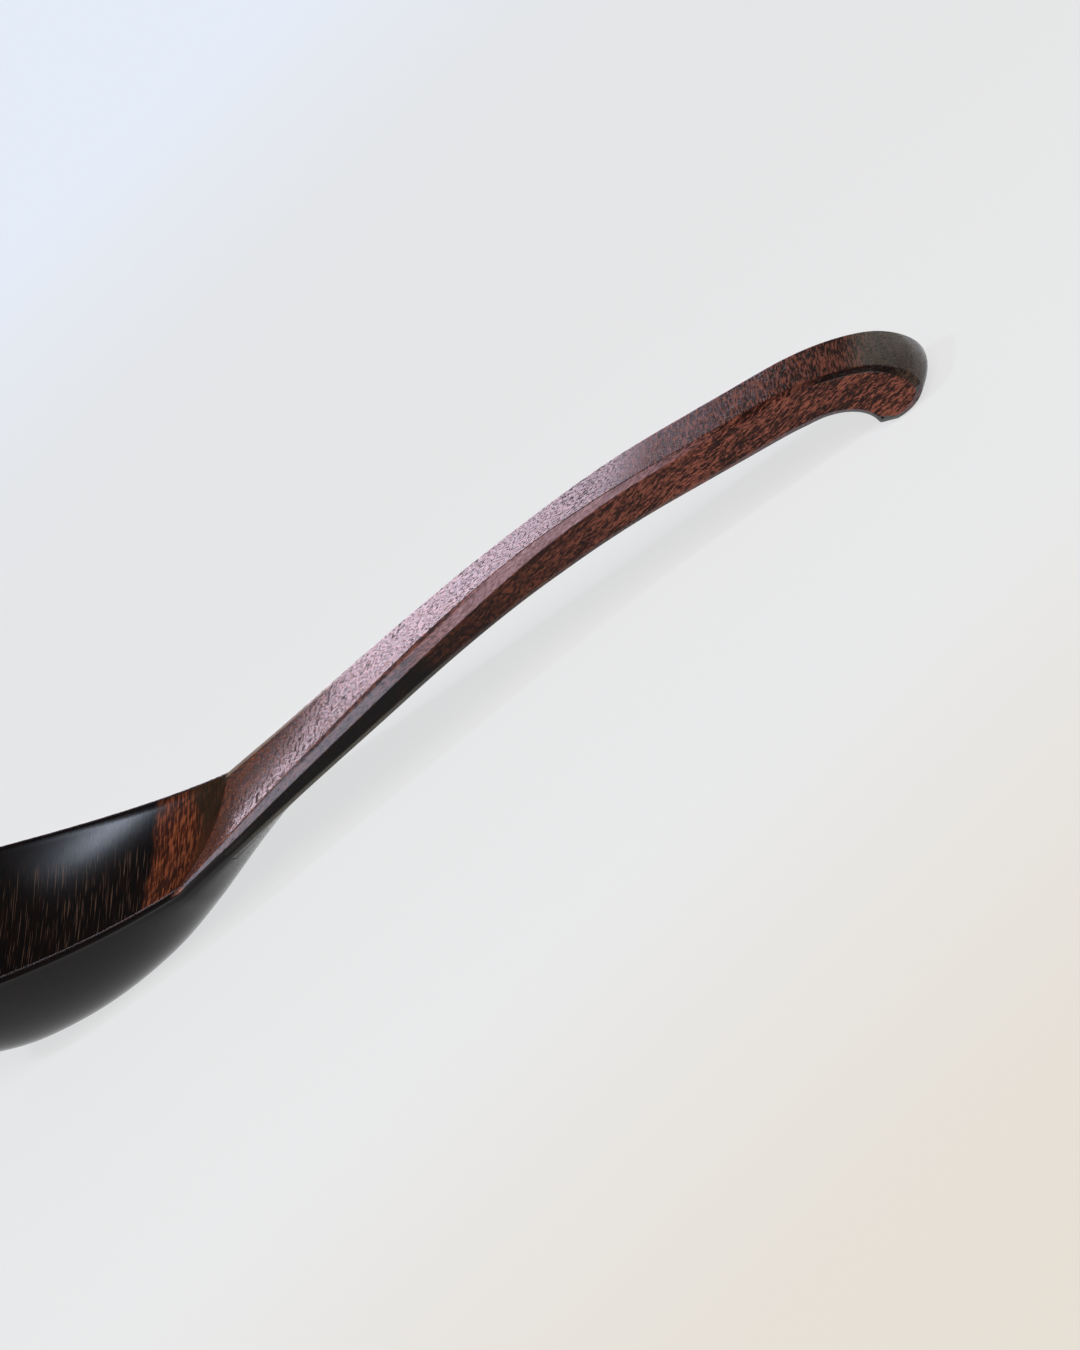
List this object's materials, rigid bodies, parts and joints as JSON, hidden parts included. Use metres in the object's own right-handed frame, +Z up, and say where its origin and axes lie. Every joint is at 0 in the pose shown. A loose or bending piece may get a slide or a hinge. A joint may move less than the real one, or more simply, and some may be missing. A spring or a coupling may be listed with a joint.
{
  "type": "soup spoon",
  "caption": "Carved hardwood soup spoon: deep egg-shaped bowl with a crease at the neck, flared arched handle and a hooked nose that hangs on a bowl's rim.",
  "frame": {"origin": "middle of the bounding box on the ground that the spoon rests on", "axes": "+X from the bowl's lip towards the hooked nose, +Y across the spoon, +Z up"},
  "size_m": [0.1828, 0.0434, 0.0314],
  "materials": {
    "dark_hardwood": "oiled, semi-gloss, with fine wavy dark and red-brown bands"
  },
  "bodies": {
    "root": {"bowl": "dark_hardwood", "handle": "dark_hardwood", "rim_hook": "dark_hardwood"}
  },
  "joints": []
}
